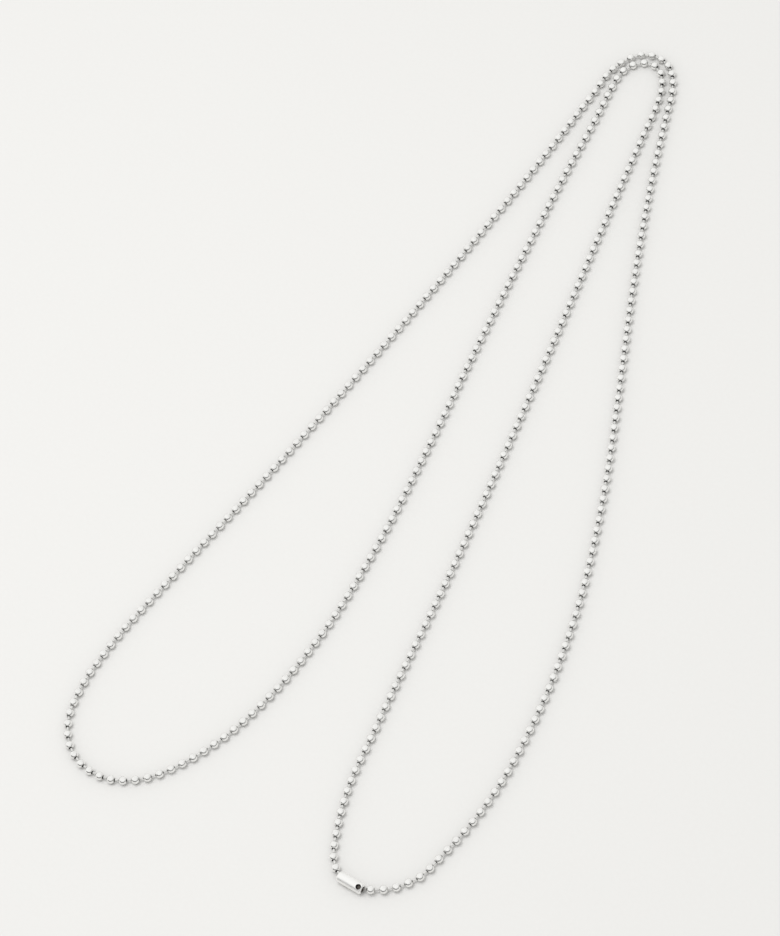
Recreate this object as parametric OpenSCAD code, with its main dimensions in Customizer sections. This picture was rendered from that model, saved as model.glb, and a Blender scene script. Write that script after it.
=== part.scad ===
// Ball chain necklace: one closed loop of hollow balls on wire links, joined
// by a rolled sheet connector. It lies folded in two on a flat surface at z = 0.

/* [Beads] */
// Diameter of one ball
bead_d = 2.4; // [2:0.1:2.9]
// Wall of the hollow ball
bead_wall = 0.2; // [0.15:0.01:0.24]
// Distance from one ball's centre to the next
pitch = 3.4; // [3.2:0.05:4.2]

/* [Links] */
// Diameter of the link's wire
wire_d = 0.55; // [0.4:0.05:0.65]
// Room round the wire in the ball's holes
wire_play = 0.28; // [0.25:0.01:0.35]
// How far a link's head is wider than the hole, on each side
head_lip = 0.17; // [0.1:0.01:0.2]
// Thickness of a link's head
head_t = 0.25; // [0.2:0.01:0.3]
// Distance from a ball's centre to the inner face of a head
head_in = 0.25; // [0.15:0.01:0.28]

/* [Connector] */
// Length of the connector
barrel_l = 8; // [7.2:0.1:9.6]
// Thickness of its sheet
sheet_t = 0.22; // [0.2:0.02:0.4]
// Room round a ball inside it
bead_play = 0.1; // [0.08:0.01:0.15]
// How far each end turns in below the ball's diameter, on each side
mouth_lip = 0.2; // [0.15:0.01:0.25]
// Outer radius of its rounded ends
end_round = 0.7; // [0.6:0.05:0.85]
// Diameter of the round hole over the right-hand end ball
side_hole_d = 1.5; // [1:0.1:1.8]
// Width of the slot along its underside, where a ball snaps in
slot_w = 1.8; // [1.2:0.1:2]

/* [Layout] */
// Place of the connector's middle, to the right
barrel_x = 34.9; // [33.5:0.1:35.5]
// Place of the connector's middle, towards the fold
barrel_y = -141.7; // [-143:0.1:-141]
// Turn of the connector on the surface, anticlockwise
barrel_turn = -9.5; // [-15:0.5:-5]
// Lean of the round hole away from straight up
hole_lean = 12; // [0:1:30]
// Slack in the link at the connector's right end
right_slack = 0.4; // [0:0.05:0.4]
// Slack in the link at the connector's left end
left_slack = 0.05; // [0:0.05:0.4]

/* [Hidden] */
SIDES = ["right", "left"];
BEADS = [1, 2, 3];
LINKS = [1, 2, 3, 4];

// Turn of the chain at each ball on the way out of the connector, in degrees,
// anticlockwise: at the end ball inside it, then at balls 1 to 3.
TURNS_RIGHT = [23, 10, 10, 10];
TURNS_LEFT = [-27, -17, -14, -6];

// The route of the chain along its centre, seen from above, from the balls at
// the connector's right end to those at its left end. Chosen by hand in steps
// of half a millimetre. The inner run starts at point number RUN_SPLIT.
ROUTE = [
    // right strand, up to the fold
    [54.5, -124.5], [59.5, -104.5], [61, -79.5], [59, -49.5], [51, -9],
    [41.5, 25], [30.5, 62.5], [19.5, 106.5], [16, 123.5],
    // outer row of the fold
    [14.5, 131], [12.5, 136], [9.5, 140], [5, 142], [0.5, 141.5],
    [-3.5, 138], [-6, 133.5],
    // left strand, down to the loop
    [-8, 122.5], [-12.5, 97], [-21, 55], [-32, 6.5], [-43, -38],
    [-53, -75], [-59.5, -101.5],
    // loop at the bottom left
    [-61, -114.5], [-59.5, -126.5], [-55, -133.5], [-48, -137.5], [-39.5, -138],
    [-31.5, -134.5], [-23.5, -126.5], [-16.5, -115.5],
    // second strand, up to the fold
    [-10, -99], [-5, -76.5], [-2.5, -44.5], [-2.5, -14.5], [-3.5, 25.5],
    [-4, 65.5], [-4, 90.5], [-3.5, 115.5], [-3.5, 127.5],
    // inner row of the fold
    [-3, 133], [-0.5, 137], [4, 139], [8, 137], [10.5, 132.5], [12, 124.5],
    // third strand, down to the connector
    [12.5, 113.5], [14, 82.5], [16.5, 40.5], [18.5, 2.5], [20.5, -44.5],
    [21.5, -97.5], [22.5, -118.5]
];
RUN_SPLIT = 28;
// Longest stretch between two rings of a run, and its number of sides
RING_GAP = 27;
RUN_SIDES = 8;

EPS = 0.01;
$fn = 48;

bead_r = bead_d / 2;
cavity_r = bead_r - bead_wall;
hole_d = wire_d + 2 * wire_play;
head_d = hole_d + 2 * head_lip;
link_l = pitch - 2 * head_in;
barrel_bore_r = bead_r + bead_play;
barrel_r = barrel_bore_r + sheet_t;
mouth_r = bead_r - mouth_lip;
// Where an end ball's centre lies, measured in from the connector's end, so
// that it clears the edge of the mouth by its play
seat = sheet_t + sqrt(pow(barrel_bore_r, 2) - pow(mouth_r, 2));
// The chain rests on the surface, and climbs to the connector's axis
chain_z = bead_r;
barrel_z = barrel_r;

function unit(v) = v / norm(v);
function heading(a) = [cos(a), sin(a)];
function sum(v, n) = n < 0 ? 0 : v[n] + sum(v, n - 1);
function flat(p, z) = [p[0], p[1], z];

// Balls and links on the way out of the connector

function is_left(side) = side == "left";
function turns(side) = is_left(side) ? TURNS_LEFT : TURNS_RIGHT;
function axis_angle(side) = barrel_turn + (is_left(side) ? 180 : 0);
function slack(side) = is_left(side) ? left_slack : right_slack;
function step(side, k) = k == 1 ? pitch - slack(side) : pitch;
// Direction of link k, which runs from ball k - 1 to ball k
function link_dir(side, k) = heading(axis_angle(side) + sum(turns(side), k - 1));
// Centre of ball k seen from above, where ball 0 is the one in the connector
function bead_xy(side, k) =
    k == 0 ? [barrel_x, barrel_y] + (barrel_l / 2 - seat) * heading(axis_angle(side))
           : bead_xy(side, k - 1) + step(side, k) * link_dir(side, k);
function bead_z(k) = barrel_z + (chain_z - barrel_z) * min(k / max(BEADS), 1);
function bead_at(side, k) = flat(bead_xy(side, k), bead_z(k));
// Where the run starts: the near side of the ball after the last separate one
function run_start(side) = bead_xy(side, max(LINKS)) - bead_r * link_dir(side, max(LINKS));

// The runs of chain: rings along a smooth curve through the route's points

RIGHT_LEAD = [run_start("right"), run_start("right") + bead_d * link_dir("right", max(LINKS))];
LEFT_LEAD = [run_start("left") + bead_d * link_dir("left", max(LINKS)), run_start("left")];
PATH = concat(RIGHT_LEAD, ROUTE, LEFT_LEAD);
LAST = len(PATH) - 1;

function chord(i) = norm(PATH[i + 1] - PATH[i]);
// Direction at a point: the chords on both sides, the shorter one counting more
function tangent(i) =
    i == 0 ? unit(PATH[1] - PATH[0])
  : i == LAST ? unit(PATH[LAST] - PATH[LAST - 1])
  : let (a = chord(i - 1), b = chord(i),
         before = (PATH[i] - PATH[i - 1]) / a, after = (PATH[i + 1] - PATH[i]) / b)
    (b * before + a * after) / (a + b);
// Cubic curve from point i to point i + 1, and its direction
function curve(i, t) =
    (2 * pow(t, 3) - 3 * pow(t, 2) + 1) * PATH[i]
    + (pow(t, 3) - 2 * pow(t, 2) + t) * chord(i) * tangent(i)
    + (3 * pow(t, 2) - 2 * pow(t, 3)) * PATH[i + 1]
    + (pow(t, 3) - pow(t, 2)) * chord(i) * tangent(i + 1);
function curve_dir(i, t) = unit(
    (6 * pow(t, 2) - 6 * t) * (PATH[i] - PATH[i + 1])
    + (3 * pow(t, 2) - 4 * t + 1) * chord(i) * tangent(i)
    + (3 * pow(t, 2) - 2 * t) * chord(i) * tangent(i + 1));
// One ring: a polygon whose flats touch the ball's width, top and bottom
function ring(i, t) =
    let (p = curve(i, t), d = curve_dir(i, t), side = [-d[1], d[0]],
         r = bead_r / cos(180 / RUN_SIDES))
    [for (k = [0 : RUN_SIDES - 1]) let (a = (k + 0.5) * 360 / RUN_SIDES)
        flat(p + r * cos(a) * side, chain_z + r * sin(a))];
function rings(first, last) = concat(
    [for (i = [first : last - 1]) let (n = ceil(chord(i) / RING_GAP))
        for (j = [0 : n - 1]) ring(i, j / n)],
    [ring(last - 1, 1)]);

module run(first, last) {
    loops = rings(first, last);
    n = RUN_SIDES;
    top = (len(loops) - 1) * n;
    color("silver")
        polyhedron(
            points = [for (loop = loops) for (p = loop) p],
            faces = concat(
                [[for (k = [0 : n - 1]) k]],
                [for (i = [0 : len(loops) - 2]) for (k = [0 : n - 1])
                    let (a = i * n + k, b = i * n + (k + 1) % n)
                    for (face = [[a, a + n, b + n], [a, b + n, b]]) face],
                [[for (k = [n - 1 : -1 : 0]) top + k]]
            ),
            convexity = 6
        );
}

module chain_outer_run() {
    run(0, RUN_SPLIT);
}

module chain_inner_run() {
    run(RUN_SPLIT, LAST);
}

// Stands its children at a point, with their z axis along a direction
module along(p, d) {
    translate(p)
        rotate([0, acos(d[2] / norm(d)), atan2(d[1], d[0])])
            children();
}

// A hollow ball with a hole at each end, for the links
module bead(p, d) {
    color("silver")
        along(p, d)
            difference() {
                sphere(r = bead_r);
                sphere(r = cavity_r);
                cylinder(d = hole_d, h = bead_d + EPS, center = true);
            }
}

module end_bead(side) {
    bead(bead_at(side, 0), bead_at(side, 1) - bead_at(side, 0));
}

module chain_bead(side, k) {
    bead(bead_at(side, k), bead_at(side, k + 1) - bead_at(side, k - 1));
}

// A wire with a flat head inside each of the two balls that it joins
module link(p, q) {
    color("gainsboro")
        along((p + q) / 2, q - p) {
            cylinder(d = wire_d, h = link_l - head_t, center = true);
            for (end = [-1, 1])
                translate([0, 0, end * (link_l - head_t) / 2])
                    cylinder(d = head_d, h = head_t, center = true);
        }
}

// The last separate link: its far end meets the face where the run starts
module run_link(p, q) {
    color("gainsboro")
        along(p, q - p) {
            translate([0, 0, head_in])
                cylinder(d = head_d, h = head_t);
            translate([0, 0, head_in])
                cylinder(d = wire_d, h = norm(q - p) - bead_r - head_in);
        }
}

module chain_link(side, k) {
    if (k < max(LINKS))
        link(bead_at(side, k - 1), bead_at(side, k));
    else
        run_link(bead_at(side, k - 1), bead_at(side, k));
}

// Half outline of the connector: a tube with its ends turned in
module barrel_outline(r, round_r, inset) {
    translate([0, inset])
        square([r - round_r, barrel_l - 2 * inset]);
    translate([0, inset + round_r])
        square([r, barrel_l - 2 * (inset + round_r)]);
    for (y = [inset + round_r, barrel_l - inset - round_r])
        translate([r - round_r, y])
            circle(r = round_r);
}

module connector_barrel() {
    color("silver")
        translate([barrel_x, barrel_y, barrel_z])
            rotate([0, 0, barrel_turn])
                rotate([hole_lean, 0, 0])
                    difference() {
                        translate([-barrel_l / 2, 0, 0])
                            rotate([0, 90, 0])
                                rotate_extrude()
                                    difference() {
                                        barrel_outline(barrel_r, end_round, 0);
                                        barrel_outline(barrel_bore_r, end_round - sheet_t, sheet_t);
                                        translate([0, -EPS])
                                            square([mouth_r, barrel_l + 2 * EPS]);
                                    }
                        translate([barrel_l / 2 - seat, 0, 0])
                            cylinder(d = side_hole_d, h = barrel_r + EPS);
                        translate([-barrel_l / 2 - EPS, -slot_w / 2, -barrel_r - EPS])
                            cube([barrel_l + 2 * EPS, slot_w, barrel_r + EPS]);
                    }
}

connector_barrel();
chain_outer_run();
chain_inner_run();
for (side = SIDES) {
    end_bead(side);
    for (k = BEADS)
        chain_bead(side, k);
    for (k = LINKS)
        chain_link(side, k);
}
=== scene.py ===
import math

import bpy
import numpy as np
from mathutils import Matrix, Vector


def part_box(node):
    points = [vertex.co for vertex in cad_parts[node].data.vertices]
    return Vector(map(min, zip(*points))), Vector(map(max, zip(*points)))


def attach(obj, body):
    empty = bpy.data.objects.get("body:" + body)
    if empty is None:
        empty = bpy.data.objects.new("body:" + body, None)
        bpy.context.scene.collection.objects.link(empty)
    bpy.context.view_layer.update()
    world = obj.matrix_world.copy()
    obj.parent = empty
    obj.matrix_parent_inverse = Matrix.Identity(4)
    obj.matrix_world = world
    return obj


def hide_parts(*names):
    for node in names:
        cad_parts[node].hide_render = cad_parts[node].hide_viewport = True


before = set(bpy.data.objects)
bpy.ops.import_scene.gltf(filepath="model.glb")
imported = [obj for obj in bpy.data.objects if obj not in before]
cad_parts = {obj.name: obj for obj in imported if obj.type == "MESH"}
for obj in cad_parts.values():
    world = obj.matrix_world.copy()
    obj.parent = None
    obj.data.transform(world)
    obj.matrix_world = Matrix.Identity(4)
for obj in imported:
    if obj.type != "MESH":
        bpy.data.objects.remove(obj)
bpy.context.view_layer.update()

# Camera, at the photograph's angle

CAMERA_AT = Vector((0.2873, -0.4152, 0.7655))
CAMERA_AIM = Vector((-0.0104, -0.0202, 0.0))
CAMERA_ROLL = math.radians(-14.2)
LENS_MM = 122.8
SENSOR_MM = 36.0
# Nearest and farthest distance that the camera sees
CAMERA_REACH = (0.01, 20)


def place_camera():
    """A camera at CAMERA_AT that looks at CAMERA_AIM, turned by CAMERA_ROLL about its line of sight."""
    data = bpy.data.cameras.new("camera")
    data.lens = LENS_MM
    data.sensor_width = SENSOR_MM
    data.clip_start, data.clip_end = CAMERA_REACH
    camera = bpy.data.objects.new("camera", data)
    bpy.context.scene.collection.objects.link(camera)
    sight = (CAMERA_AIM - CAMERA_AT).to_track_quat("-Z", "Y").to_matrix().to_4x4()
    roll = Matrix.Rotation(CAMERA_ROLL, 4, "Z")
    camera.matrix_world = Matrix.Translation(CAMERA_AT) @ sight @ roll
    bpy.context.scene.camera = camera


place_camera()

# Sizes of the chain in metres, as in the CAD source

PITCH = 0.0034
WIRE_R = 0.000275
# The connector's middle, its turn in degrees, half its length, its outer
# radius, and the radius of its rounded ends
CONNECTOR_AT = (0.0349, -0.1417, 0.00152)
CONNECTOR_TURN = -9.5
CONNECTOR_HALF = 0.004
CONNECTOR_R = 0.00152
END_ROUND = 0.0007
# Directions of the fourth link on each side, seen from above, in degrees
LINK_4_HEADING = {"right": 43.5, "left": 106.5}

# The route of the chain along its centre, seen from above, from the balls at
# the connector's right end to those at its left end, as in the CAD source. The
# inner run starts at point number RUN_SPLIT, counted with the lead-in's two.
ROUTE = [
    # right strand, up to the fold
    (0.0545, -0.1245), (0.0595, -0.1045), (0.061, -0.0795), (0.059, -0.0495), (0.051, -0.009),
    (0.0415, 0.025), (0.0305, 0.0625), (0.0195, 0.1065), (0.016, 0.1235),
    # outer row of the fold
    (0.0145, 0.131), (0.0125, 0.136), (0.0095, 0.14), (0.005, 0.142), (0.0005, 0.1415),
    (-0.0035, 0.138), (-0.006, 0.1335),
    # left strand, down to the loop
    (-0.008, 0.1225), (-0.0125, 0.097), (-0.021, 0.055), (-0.032, 0.0065), (-0.043, -0.038),
    (-0.053, -0.075), (-0.0595, -0.1015),
    # loop at the bottom left
    (-0.061, -0.1145), (-0.0595, -0.1265), (-0.055, -0.1335), (-0.048, -0.1375), (-0.0395, -0.138),
    (-0.0315, -0.1345), (-0.0235, -0.1265), (-0.0165, -0.1155),
    # second strand, up to the fold
    (-0.01, -0.099), (-0.005, -0.0765), (-0.0025, -0.0445), (-0.0025, -0.0145), (-0.0035, 0.0255),
    (-0.004, 0.0655), (-0.004, 0.0905), (-0.0035, 0.1155), (-0.0035, 0.1275),
    # inner row of the fold
    (-0.003, 0.133), (-0.0005, 0.137), (0.004, 0.139), (0.008, 0.137), (0.0105, 0.1325), (0.012, 0.1245),
    # third strand, down to the connector
    (0.0125, 0.1135), (0.014, 0.0825), (0.0165, 0.0405), (0.0185, 0.0025), (0.0205, -0.0445),
    (0.0215, -0.0975), (0.0225, -0.1185),
]
RUN_SPLIT = 28
# Steps of the curve between two points of the route
ROUTE_STEPS = 24
# Balls from the fourth on the right to the fourth on the left, matched to the
# photo's along the strands, and how far their links' slack moves them on from
# even spacing: the number of a ball, and its shift as a share of the pitch
BALL_COUNT = 344
SLACK = [
    (0, 0), (4, 0.1), (10, 0.18), (25, 0.21), (45, 0.23), (60, 0.16), (72, 0.06), (84, 0.05), (95, -0.04),
    (125, 0), (150, 0.03), (160, -0.07), (170, -0.24), (178, -0.13), (190, -0.15), (208, -0.25), (230, -0.22),
    (258, -0.23), (266, 0.08), (275, 0.12), (300, 0.14), (325, 0.29), (337, 0.34), (343, 0),
]


def box_centre(node):
    """Middle of a CAD node's box."""
    low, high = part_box(node)
    return np.array((low + high) / 2)


def box_height(node):
    """Height of a CAD node's box."""
    low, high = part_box(node)
    return high.z - low.z


BALL_R = box_height("bead_right_3") / 2


def lead_in(side):
    """Centre of the fourth ball on one side, and the direction in which the chain leaves it."""
    angle = math.radians(LINK_4_HEADING[side])
    direction = np.array((math.cos(angle), math.sin(angle)))
    return box_centre(f"bead_{side}_3")[:2] + PITCH * direction, direction


def smooth_route(points, steps):
    """A cubic curve through the points, in even steps between each two.

    Its direction at a point is that of the chords before and after it, each
    weighted with the other one's length, and its speed is the chord's length.
    Gives the places, and the point number that each belongs to.
    """
    chords = np.diff(points, axis=0)
    lengths = np.linalg.norm(chords, axis=1)
    units = chords / lengths[:, None]
    before, after = lengths[:-1, None], lengths[1:, None]
    inner = (after * units[:-1] + before * units[1:]) / (before + after)
    tangents = np.vstack([units[:1], inner, units[-1:]])
    t = np.linspace(0, 1, steps, endpoint=False)[None, :, None]
    start, end = points[:-1, None], points[1:, None]
    leave = (lengths[:, None] * tangents[:-1])[:, None]
    arrive = (lengths[:, None] * tangents[1:])[:, None]
    curve = (
        (2 * t**3 - 3 * t**2 + 1) * start
        + (t**3 - 2 * t**2 + t) * leave
        + (3 * t**2 - 2 * t**3) * end
        + (t**3 - t**2) * arrive
    )
    places = np.vstack([curve.reshape(-1, 2), points[-1:]])
    numbers = np.append((np.arange(len(chords))[:, None] + t[0, :, 0]).ravel(), len(chords))
    return places, numbers


def ball_places():
    """Centres of the chain's balls along the route, from the fourth on the right to the fourth on the left.

    Even spacing, moved on by the slack of the links. Gives also how many of
    them are on the outer run.
    """
    right, out = lead_in("right")
    left, back = lead_in("left")
    right_lead = [right - BALL_R * out, right + BALL_R * out]
    left_lead = [left + BALL_R * back, left - BALL_R * back]
    points = np.vstack([right_lead, ROUTE, left_lead])
    places, numbers = smooth_route(points, ROUTE_STEPS)
    run = np.append(0, np.cumsum(np.linalg.norm(np.diff(places, axis=0), axis=1)))
    number = np.arange(BALL_COUNT)
    slack = np.array(SLACK)
    first, last = BALL_R, run[-1] - BALL_R
    at = first + (number + np.interp(number, slack[:, 0], slack[:, 1])) * (last - first) / (BALL_COUNT - 1)
    xy = np.column_stack([np.interp(at, run, places[:, 0]), np.interp(at, run, places[:, 1])])
    on_outer = int(np.sum(np.interp(at, run, numbers) < RUN_SPLIT))
    return xy, on_outer


# Meshes

FULL_TURN = 2 * math.pi
BALL_SIDES = 8
WIRE_SIDES = 8
# How often Subdivision Surface divides a ball and a wire
BALL_LEVELS = 2
WIRE_LEVELS = 1
# Where it settles a point: shares of the point and of each of its neighbours
OWN_SHARE = 4 / 6
NEIGHBOUR_SHARE = 1 / 6
# A ball's profile: degrees from its axis, from one hole's edge to the other's
BALL_ROWS = (28, 60, 90, 120, 152)
# The floor of each hole: its distance from the ball's centre and its radius
HOLE_FLOOR = (0.00055, 0.0004)
# Name of the number on the points that sets where shade is painted, 1 deep in a
# ball's holes, and its value in each row of a ball and of a wire. The 0.15 at a
# ball's hole edges spreads a little painted shade onto the rim round each hole,
# and the 1 at each end of a wire paints shade where it goes into the holes
SHADE_ATTRIBUTE = "hole_shade"
BALL_HOLE_SHADE = (1, 0.15, 0, 0, 0, 0.15, 1)
WIRE_END_SHADE = (1, 0, 0, 1)
# How far from a ball's centre the wire of a link ends in it
WIRE_END = 0.0006


def smoothing_share(sides):
    """Share of a ring's radius that Subdivision Surface leaves, from its shares along the ring."""
    return OWN_SHARE + 2 * NEIGHBOUR_SHARE * math.cos(FULL_TURN / sides)


def held_profile(rows):
    """Control rows whose smoothed profile passes through the given rows.

    Each smoothed row is OWN_SHARE of its control row and NEIGHBOUR_SHARE of
    the one before and the one after it. The first and the last row stay.
    """
    weights = np.eye(len(rows))
    inner = np.arange(1, len(rows) - 1)
    for shift, share in ((0, OWN_SHARE), (-1, NEIGHBOUR_SHARE), (1, NEIGHBOUR_SHARE)):
        weights[inner, inner + shift] = share
    return np.linalg.solve(weights, rows)


def ball_profile():
    """Distance along the axis and radius of each row of a ball.

    A round arc between the edges of its two holes, and the floor of a hole at
    each end.
    """
    angle = np.radians(BALL_ROWS)
    arc = np.column_stack([-BALL_R * np.cos(angle), BALL_R * np.sin(angle)])
    depth, radius = HOLE_FLOOR
    return held_profile(np.vstack([(-depth, radius), arc, (depth, radius)]))


def wire_profile():
    """Share of a link's length and radius of each row of its wire, a plain rod."""
    rows = len(WIRE_END_SHADE)
    return np.column_stack([np.linspace(0, 1, rows), np.full(rows, WIRE_R)])


def turned(profile, sides, origins, axes):
    """Solids of revolution: at each origin, the profile's rows are rings round the axis there.

    A point is the origin, plus the row's distance along the axis, plus its
    radius times the cosine and sine of its angle along the level and the
    upright side direction. Gives the points as origins by rows by sides.
    """
    angle = (np.arange(sides) + 0.5) / sides * FULL_TURN
    radius = profile[:, 1] / smoothing_share(sides)
    level = np.column_stack([-axes[:, 1], axes[:, 0], np.zeros(len(axes))])
    level /= np.linalg.norm(level, axis=1)[:, None]
    upright = np.cross(axes / np.linalg.norm(axes, axis=1)[:, None], level)
    return (
        origins[:, None, None]
        + profile[None, :, None, :1] * axes[:, None, None]
        + (radius[:, None] * np.cos(angle))[None, :, :, None] * level[:, None, None]
        + (radius[:, None] * np.sin(angle))[None, :, :, None] * upright[:, None, None]
    )


def grid_faces(copies, rows, sides):
    """Faces of turned solids, all pointing outwards.

    Quads between neighbouring rings, and one polygon over the ring at each end.
    """
    row, side = np.meshgrid(np.arange(rows - 1), np.arange(sides), indexing="ij")
    near, far = row * sides, (row + 1) * sides
    after = (side + 1) % sides
    quads = np.stack([near + side, near + after, far + after, far + side], -1)
    ring = np.arange(sides)
    start = np.arange(copies) * rows * sides
    sides_of_all = (start[:, None, None] + quads.reshape(1, -1, 4)).reshape(-1, 4)
    first_caps = start[:, None] + ring[None, ::-1]
    last_caps = start[:, None] + (rows - 1) * sides + ring[None]
    return sides_of_all.tolist() + first_caps.tolist() + last_caps.tolist()


def add_piece(name, points, sides, levels, material, hole_shade):
    """One object of turned solids, smoothed, that rides on the body and has a material.

    The hole shade value of each row becomes a number on its points, 0 outside
    and 1 deep in a hole, which tells the material where to paint shade.
    """
    copies, rows = points.shape[:2]
    mesh = bpy.data.meshes.new(name)
    mesh.from_pydata(points.reshape(-1, 3).tolist(), [], grid_faces(copies, rows, sides))
    mesh.polygons.foreach_set("use_smooth", np.ones(len(mesh.polygons), bool))
    mesh.materials.append(material)
    mark = mesh.attributes.new(SHADE_ATTRIBUTE, "FLOAT", "POINT")
    depths = np.repeat(np.array(hole_shade, dtype=np.float32), sides)
    mark.data.foreach_set("value", np.tile(depths, copies))
    piece = bpy.data.objects.new(name, mesh)
    bpy.context.scene.collection.objects.link(piece)
    smooth = piece.modifiers.new("smooth", "SUBSURF")
    smooth.levels = levels
    smooth.render_levels = levels
    piece.modifiers.new("triangles", "TRIANGULATE")
    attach(piece, "root")
    return piece


def upright_points(xy, height):
    """Points seen from above, at a height."""
    return np.column_stack([xy, np.full(len(xy), height)])


# Finishes

# How fine the dull patches are, how much detail the patches and the dents
# have, and between which values of the noise a patch goes dull
PATCH_SCALE = 900.0
PATCH_DETAIL = 4
DENT_DETAIL = 1
DULL_EDGES = (0.45, 0.75)
# How deep the dents are
DENT_DEPTH = 0.00002
# How the marks of its rolling are drawn out along the connector
BRUSHED = (0.15, 1, 1)
# Painted shade: the near-black colour painted deep in a ball's holes, at the
# ends of the wires in them, and on the connector's inner side, where shade falls
PAINTED_SHADE = (0.03, 0.028, 0.026)
# Where the painted shade begins and is full: as the number on the points, as
# shares of the ball's radius, and under the connector's skin as shares of its
# ends' radius
HOLE_SHADE_EDGES = (0.05, 0.42)
SKIN_EDGES = (0.97, 0.88)
SHEET_EDGES = (0.93, 0.75)
# Each finish: bright colour, dull colour, least and most roughness, and how
# fine the dents are
BALL_FINISH = ((0.9, 0.896, 0.885), (0.82, 0.816, 0.805), (0.1, 0.2), 700.0)
WIRE_FINISH = ((0.8, 0.795, 0.78), (0.66, 0.656, 0.645), (0.22, 0.36), 900.0)
# Painted shade: the darker finish of the link at the connector's right end stands in for the shade of the
# connector and the ball beside it
SHADED_WIRE_FINISH = ((0.5, 0.49, 0.47), (0.3, 0.29, 0.28), (0.3, 0.45), 900.0)
CONNECTOR_FINISH = ((0.95, 0.946, 0.935), (0.88, 0.876, 0.865), (0.36, 0.48), 1400.0)
# Painted shade: the balls held inside the connector are near-black, standing in for the shade in its hollow,
# so its side hole looks dark
SHADED_END_BALL_FINISH = ((0.1, 0.09, 0.08), (0.05, 0.045, 0.04), (0.35, 0.5), 900.0)


def socket(group, name, kind, side, value=None):
    """A named input or output of a node group."""
    made = group.interface.new_socket(name=name, in_out=side, socket_type=kind)
    if value is not None:
        made.default_value = value


def polish_group():
    """Polish of plated metal: clouded patches and small dents, from a place on the object.

    Puts out a roughness, a mask of dull patches and a height.
    """
    group = bpy.data.node_groups.new("metal_polish", "ShaderNodeTree")
    socket(group, "Place", "NodeSocketVector", "INPUT")
    socket(group, "Patch scale", "NodeSocketFloat", "INPUT", PATCH_SCALE)
    socket(group, "Dent scale", "NodeSocketFloat", "INPUT")
    socket(group, "Least roughness", "NodeSocketFloat", "INPUT")
    socket(group, "Most roughness", "NodeSocketFloat", "INPUT")
    socket(group, "Roughness", "NodeSocketFloat", "OUTPUT")
    socket(group, "Dull", "NodeSocketFloat", "OUTPUT")
    socket(group, "Height", "NodeSocketFloat", "OUTPUT")
    nodes, links = group.nodes, group.links
    given = nodes.new("NodeGroupInput")
    out = nodes.new("NodeGroupOutput")
    patches = nodes.new("ShaderNodeTexNoise")
    patches.inputs["Detail"].default_value = PATCH_DETAIL
    dents = nodes.new("ShaderNodeTexNoise")
    dents.inputs["Detail"].default_value = DENT_DETAIL
    spread = nodes.new("ShaderNodeMapRange")
    dull = nodes.new("ShaderNodeMapRange")
    dull.inputs["From Min"].default_value = DULL_EDGES[0]
    dull.inputs["From Max"].default_value = DULL_EDGES[1]
    links.new(given.outputs["Place"], patches.inputs["Vector"])
    links.new(given.outputs["Patch scale"], patches.inputs["Scale"])
    links.new(given.outputs["Place"], dents.inputs["Vector"])
    links.new(given.outputs["Dent scale"], dents.inputs["Scale"])
    links.new(patches.outputs["Fac"], spread.inputs["Value"])
    links.new(given.outputs["Least roughness"], spread.inputs["To Min"])
    links.new(given.outputs["Most roughness"], spread.inputs["To Max"])
    links.new(patches.outputs["Fac"], dull.inputs["Value"])
    links.new(spread.outputs["Result"], out.inputs["Roughness"])
    links.new(dull.outputs["Result"], out.inputs["Dull"])
    links.new(dents.outputs["Fac"], out.inputs["Height"])
    return group


def soft_step(nodes, links, value, edges):
    """A mask that goes softly from 0 at the first edge to 1 at the second."""
    spread = nodes.new("ShaderNodeMapRange")
    spread.interpolation_type = "SMOOTHSTEP"
    spread.inputs["From Min"].default_value = edges[0]
    spread.inputs["From Max"].default_value = edges[1]
    links.new(value, spread.inputs["Value"])
    return spread.outputs["Result"]


def length_of(nodes, links, vector):
    """Length of a vector."""
    reach = nodes.new("ShaderNodeVectorMath")
    reach.operation = "LENGTH"
    links.new(vector, reach.inputs[0])
    return reach.outputs["Value"]


def hole_shade_mask(nodes, links, place, centre):
    """How deep a point lies in a ball's hole.

    It tells where shade is painted. It comes from the number on the points.
    Where a centre is given, it comes from how much nearer to that than the
    ball's skin the point lies.
    """
    if centre is None:
        mark = nodes.new("ShaderNodeAttribute")
        mark.attribute_name = SHADE_ATTRIBUTE
        return soft_step(nodes, links, mark.outputs["Fac"], HOLE_SHADE_EDGES)
    middle = nodes.new("ShaderNodeMapping")
    middle.inputs["Location"].default_value = [-float(value) for value in centre]
    links.new(place, middle.inputs["Vector"])
    reach = length_of(nodes, links, middle.outputs["Vector"])
    return soft_step(nodes, links, reach, [share * BALL_R for share in SKIN_EDGES])


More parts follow.
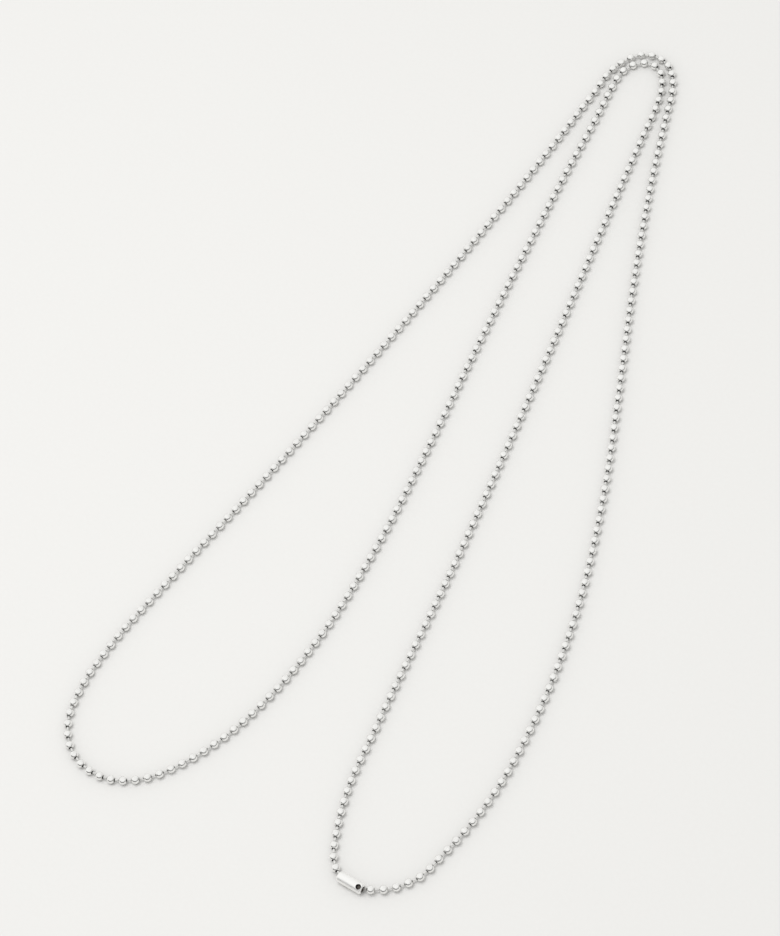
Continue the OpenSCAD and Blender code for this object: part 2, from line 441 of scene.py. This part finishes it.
def sheet_shade_mask(nodes, links, place):
    """How deep a point of the connector lies under its skin.

    It tells where shade is painted on the connector's inner side. Taken from
    the length of what its distance from the axis and its distance along the
    axis reach beyond the centre of the rounded end. That is the rounding's
    radius on the skin and less on the inner side.
    """
    parts = nodes.new("ShaderNodeSeparateXYZ")
    links.new(place, parts.inputs["Vector"])
    across = nodes.new("ShaderNodeCombineXYZ")
    links.new(parts.outputs["Y"], across.inputs["Y"])
    links.new(parts.outputs["Z"], across.inputs["Z"])
    radius = length_of(nodes, links, across.outputs["Vector"])
    along = nodes.new("ShaderNodeMath")
    along.operation = "ABSOLUTE"
    links.new(parts.outputs["X"], along.inputs[0])
    corner = nodes.new("ShaderNodeCombineXYZ")
    for value, start, target in (
        (radius, CONNECTOR_R - END_ROUND, "X"),
        (along.outputs["Value"], CONNECTOR_HALF - END_ROUND, "Y"),
    ):
        beyond = nodes.new("ShaderNodeMath")
        beyond.operation = "SUBTRACT"
        beyond.inputs[1].default_value = start
        links.new(value, beyond.inputs[0])
        least = nodes.new("ShaderNodeMath")
        least.operation = "MAXIMUM"
        least.inputs[1].default_value = 0
        links.new(beyond.outputs["Value"], least.inputs[0])
        links.new(least.outputs["Value"], corner.inputs[target])
    reach = length_of(nodes, links, corner.outputs["Vector"])
    return soft_step(nodes, links, reach, [share * END_ROUND for share in SHEET_EDGES])


def metal(name, polish, bright, dull, roughness, dent_scale, centre=None, sheet=False):
    """A plated metal: a bright colour that goes to a duller one in patches, uneven roughness, shallow dents.

    Shade is painted on it as a near-black colour deep in a ball's holes, or on
    the inner side of the connector's sheet. A centre tells the holes of a ball
    whose points hold no number.
    """
    material = bpy.data.materials.new(name)
    material.use_nodes = True
    nodes, links = material.node_tree.nodes, material.node_tree.links
    shader = nodes["Principled BSDF"]
    shader.inputs["Metallic"].default_value = 1.0
    place = nodes.new("ShaderNodeTexCoord").outputs["Object"]
    marks = nodes.new("ShaderNodeGroup")
    marks.node_tree = polish
    marks.inputs["Dent scale"].default_value = dent_scale
    marks.inputs["Least roughness"].default_value = roughness[0]
    marks.inputs["Most roughness"].default_value = roughness[1]
    colour = nodes.new("ShaderNodeMix")
    colour.data_type = "RGBA"
    colour.inputs["A"].default_value = (*bright, 1)
    colour.inputs["B"].default_value = (*dull, 1)
    bump = nodes.new("ShaderNodeBump")
    bump.inputs["Distance"].default_value = DENT_DEPTH
    if sheet:
        own = nodes.new("ShaderNodeMapping")
        own.vector_type = "TEXTURE"
        own.inputs["Location"].default_value = CONNECTOR_AT
        own.inputs["Rotation"].default_value = (0, 0, math.radians(CONNECTOR_TURN))
        brushed = nodes.new("ShaderNodeMapping")
        brushed.inputs["Scale"].default_value = BRUSHED
        links.new(place, own.inputs["Vector"])
        links.new(own.outputs["Vector"], brushed.inputs["Vector"])
        links.new(brushed.outputs["Vector"], marks.inputs["Place"])
        painted_shade_mask = sheet_shade_mask(nodes, links, own.outputs["Vector"])
    else:
        links.new(place, marks.inputs["Place"])
        painted_shade_mask = hole_shade_mask(nodes, links, place, centre)
    # Painted shade: the colour goes to near-black where the mask puts a point in a hole or inside the
    # connector
    shaded = nodes.new("ShaderNodeMix")
    shaded.data_type = "RGBA"
    shaded.inputs["B"].default_value = (*PAINTED_SHADE, 1)
    links.new(marks.outputs["Dull"], colour.inputs["Factor"])
    links.new(colour.outputs["Result"], shaded.inputs["A"])
    links.new(painted_shade_mask, shaded.inputs["Factor"])
    links.new(shaded.outputs["Result"], shader.inputs["Base Color"])
    links.new(marks.outputs["Roughness"], shader.inputs["Roughness"])
    links.new(marks.outputs["Height"], bump.inputs["Height"])
    links.new(bump.outputs["Normal"], shader.inputs["Normal"])
    return material


polish = polish_group()
ball_finish = metal("polished_ball", polish, *BALL_FINISH)
wire_finish = metal("link_wire", polish, *WIRE_FINISH)
shaded_wire_finish = metal("shaded_end_wire", polish, *SHADED_WIRE_FINISH)
connector_finish = metal("connector_sheet", polish, *CONNECTOR_FINISH, sheet=True)
shaded_end_ball_finish = metal("shaded_end_ball", polish, *SHADED_END_BALL_FINISH)


def chain_pieces():
    """The chain's balls in four pieces and its links in two, in place of the tubes of the CAD."""
    xy, outer = ball_places()
    neighbours = [box_centre(f"bead_{side}_3")[:2] for side in ("right", "left")]
    centres = upright_points(np.vstack([neighbours[0], xy, neighbours[1]]), BALL_R)
    axes = centres[2:] - centres[:-2]
    axes /= np.linalg.norm(axes, axis=1)[:, None]
    points = turned(ball_profile(), BALL_SIDES, centres[1:-1], axes)
    for name, node, first, last in (
        ("outer_balls_right", "chain_outer_run", 0, outer // 2),
        ("outer_balls_left", "chain_outer_run", outer // 2, outer),
        ("inner_balls_left", "chain_inner_run", outer, (outer + len(xy)) // 2),
        ("inner_balls_right", "chain_inner_run", (outer + len(xy)) // 2, len(xy)),
    ):
        piece = add_piece(name, points[first:last], BALL_SIDES, BALL_LEVELS, ball_finish, BALL_HOLE_SHADE)
        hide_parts(node)
    spans = np.diff(centres, axis=0)
    trim = (WIRE_END / np.linalg.norm(spans, axis=1))[:, None] * spans
    wires = turned(wire_profile(), WIRE_SIDES, centres[:-1] + trim, spans - 2 * trim)
    for name, node, stub, first, last in (
        ("outer_links", "chain_outer_run", "link_right_4", 0, outer + 1),
        ("inner_links", "chain_inner_run", "link_left_4", outer + 1, len(wires)),
    ):
        piece = add_piece(name, wires[first:last], WIRE_SIDES, WIRE_LEVELS, wire_finish, WIRE_END_SHADE)
        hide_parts(node, stub)


def dress(node, material):
    """Gives a CAD node its material."""
    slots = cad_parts[node].material_slots
    slots[0].link = "OBJECT"
    slots[0].material = material


chain_pieces()
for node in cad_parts:
    if node.startswith("bead_"):
        dress(node, metal(node + "_finish", polish, *BALL_FINISH, centre=box_centre(node)))
    if node.startswith("link_"):
        # The link at the connector's right end gets the darker finish, painted shade
        dress(node, shaded_wire_finish if node == "link_right_1" else wire_finish)
    if node.startswith("end_bead_"):
        # Painted shade: the balls inside the connector get the near-black finish
        dress(node, shaded_end_ball_finish)
dress("connector_barrel", connector_finish)

# Surface

FLOOR_HALF = 3.0
# Colour of the pale paper, and its roughness and gloss
PAPER = (0.605, 0.6, 0.59)
PAPER_ROUGHNESS = 0.7
PAPER_GLOSS = 0.2
# How fine its grain is, how much the grain lightens and darkens it, and how
# deep and how strong the grain's relief is
GRAIN_SCALE = 900
GRAIN_DETAIL = 3
GRAIN_TINT = 0.015
GRAIN_DEPTH = 0.00003
GRAIN_STRENGTH = 0.3


def add_floor():
    """A flat pale surface under the chain."""
    mesh = bpy.data.meshes.new("floor")
    corners = [(FLOOR_HALF * x, FLOOR_HALF * y, 0) for x, y in ((-1, -1), (1, -1), (1, 1), (-1, 1))]
    mesh.from_pydata(corners, [], [(0, 1, 2, 3)])
    floor = bpy.data.objects.new("floor", mesh)
    bpy.context.scene.collection.objects.link(floor)
    material = bpy.data.materials.new("pale_paper")
    material.use_nodes = True
    nodes, links = material.node_tree.nodes, material.node_tree.links
    shader = nodes["Principled BSDF"]
    shader.inputs["Roughness"].default_value = PAPER_ROUGHNESS
    shader.inputs["Specular IOR Level"].default_value = PAPER_GLOSS
    place = nodes.new("ShaderNodeTexCoord")
    grain = nodes.new("ShaderNodeTexNoise")
    grain.inputs["Scale"].default_value = GRAIN_SCALE
    grain.inputs["Detail"].default_value = GRAIN_DETAIL
    tint = nodes.new("ShaderNodeMix")
    tint.data_type = "RGBA"
    tint.inputs["A"].default_value = (*((1 - GRAIN_TINT) * value for value in PAPER), 1)
    tint.inputs["B"].default_value = (*((1 + GRAIN_TINT) * value for value in PAPER), 1)
    tooth = nodes.new("ShaderNodeBump")
    tooth.inputs["Distance"].default_value = GRAIN_DEPTH
    tooth.inputs["Strength"].default_value = GRAIN_STRENGTH
    links.new(place.outputs["Object"], grain.inputs["Vector"])
    links.new(grain.outputs["Fac"], tint.inputs["Factor"])
    links.new(tint.outputs["Result"], shader.inputs["Base Color"])
    links.new(grain.outputs["Fac"], tooth.inputs["Height"])
    links.new(tooth.outputs["Normal"], shader.inputs["Normal"])
    mesh.materials.append(material)


# Light and surroundings

# Colour of the room's light, and its even strength on what isn't metal
ROOM_COLOUR = (1, 1, 0.985)
ROOM_LIGHT = 1.0
# Brightest direction of what the metal mirrors, and the light at right angles
# to it and straight towards it
BRIGHT_SIDE = (-0.55, -0.45, 0.7)
SKY_LIGHT = (0.95, 1.02)
# Darkness near the horizon: its change with bearing, its least, and the patch
# straight in front with the cosines of its outer and inner edge
BEARING_SHADE = (0.4, -0.3, 0)
BEARING_LEAST = 0.33
FRONT = (-0.12, -0.96, 0.1)
FRONT_EDGE = (0.62, 0.88)
FRONT_SHADE = 0.6
# Upward parts of the directions between which the dark band fades out
BAND_HEIGHTS = (0.12, 0.62)
# The overhead lamp: its place, what it faces, its diameter and its power
LAMP_AT = (-0.22, -0.08, 0.95)
LAMP_AIM = (0, 0, 0)
LAMP_SIZE = 0.6
LAMP_POWER = 5.0


def add_lamp():
    """A round soft lamp overhead. It lights and casts shadows, and the metal doesn't mirror it."""
    data = bpy.data.lights.new("overhead", "AREA")
    data.shape = "DISK"
    data.size = LAMP_SIZE
    data.energy = LAMP_POWER
    lamp = bpy.data.objects.new("overhead", data)
    bpy.context.scene.collection.objects.link(lamp)
    at = Vector(LAMP_AT)
    facing = (Vector(LAMP_AIM) - at).to_track_quat("-Z", "Y").to_matrix().to_4x4()
    lamp.matrix_world = Matrix.Translation(at) @ facing
    lamp.visible_glossy = False


def add_surroundings():
    """The room. It lights the surface evenly.

    What the metal mirrors is bright above, a little brighter on one side, and
    darker near the horizon in front and on the right. A direction's darkness
    there is a share from its bearing, plus a patch straight in front, times a
    band that fades out between BAND_HEIGHTS.
    """
    world = bpy.data.worlds.new("room")
    bpy.context.scene.world = world
    world.use_nodes = True
    nodes, links = world.node_tree.nodes, world.node_tree.links
    background = nodes["Background"]
    place = nodes.new("ShaderNodeTexCoord")

    def along(direction):
        """Part of the direction looked in that goes along another one."""
        dot = nodes.new("ShaderNodeVectorMath")
        dot.operation = "DOT_PRODUCT"
        dot.inputs[1].default_value = direction
        links.new(place.outputs["Generated"], dot.inputs[0])
        return dot.outputs["Value"]

    def ramp(value, source, target):
        """A value that goes softly between two target numbers as another goes between two source numbers."""
        spread = nodes.new("ShaderNodeMapRange")
        spread.interpolation_type = "SMOOTHSTEP"
        for name, number in zip(("From Min", "From Max", "To Min", "To Max"), (*source, *target)):
            spread.inputs[name].default_value = number
        links.new(value, spread.inputs["Value"])
        return spread.outputs["Result"]

    def combine(operation, first, second, clamp=False):
        """Two values, or a value and a number, put together by an operation."""
        made = nodes.new("ShaderNodeMath")
        made.operation = operation
        made.use_clamp = clamp
        for put, value in zip(made.inputs, (first, second)):
            if isinstance(value, float):
                put.default_value = value
            else:
                links.new(value, put)
        return made.outputs["Value"]

    above = ramp(along(Vector(BRIGHT_SIDE).normalized()), (0, 1), SKY_LIGHT)
    bearing = combine("ADD", along(BEARING_SHADE), BEARING_LEAST)
    front = ramp(along(Vector(FRONT).normalized()), FRONT_EDGE, (0, FRONT_SHADE))
    shade = combine("ADD", bearing, front, clamp=True)
    band = ramp(along((0, 0, 1)), BAND_HEIGHTS, (1, 0))
    darkness = combine("MULTIPLY", shade, band)
    mirrored = combine("MULTIPLY", above, combine("SUBTRACT", 1.0, darkness))
    ray = nodes.new("ShaderNodeLightPath")
    strength = nodes.new("ShaderNodeMix")
    strength.data_type = "FLOAT"
    strength.inputs["A"].default_value = ROOM_LIGHT
    links.new(ray.outputs["Is Glossy Ray"], strength.inputs["Factor"])
    links.new(mirrored, strength.inputs["B"])
    links.new(strength.outputs["Result"], background.inputs["Strength"])
    background.inputs["Color"].default_value = (*ROOM_COLOUR, 1)


add_floor()
add_surroundings()
add_lamp()
bpy.context.scene.view_settings.view_transform = "Standard"
